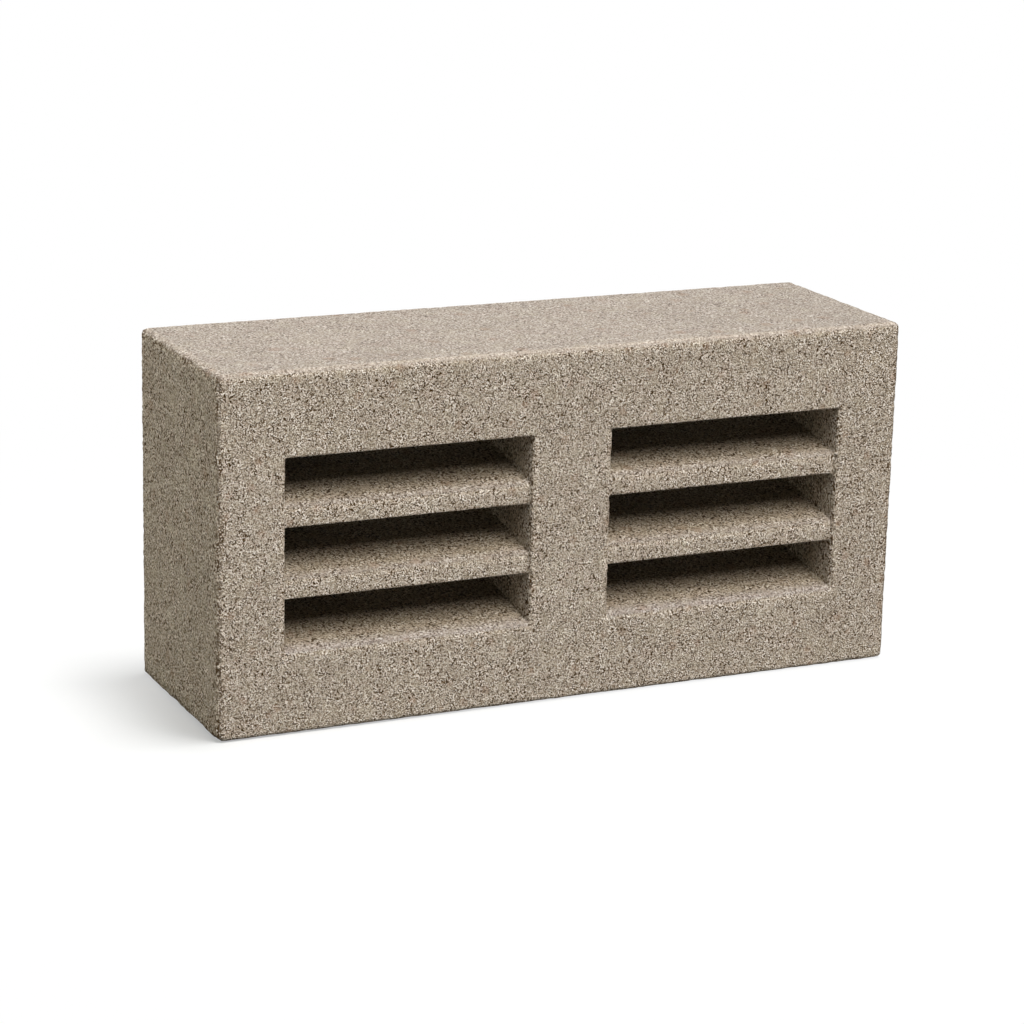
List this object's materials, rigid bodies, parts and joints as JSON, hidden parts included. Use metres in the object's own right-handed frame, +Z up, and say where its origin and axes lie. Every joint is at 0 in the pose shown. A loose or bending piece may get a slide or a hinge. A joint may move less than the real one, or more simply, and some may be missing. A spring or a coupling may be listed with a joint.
{
  "type": "louvred screen block",
  "caption": "Concrete screen block with through windows crossed by sloping louvre slats, for walls that let air and light pass.",
  "frame": {"origin": "middle of the bed face that the block stands on", "axes": "+X along the length, +Y from the front face to the back face, +Z up"},
  "size_m": [0.39, 0.12, 0.19],
  "materials": {
    "concrete": "rough sand-textured concrete"
  },
  "bodies": {
    "root": {"screen_block": "concrete"}
  },
  "joints": []
}
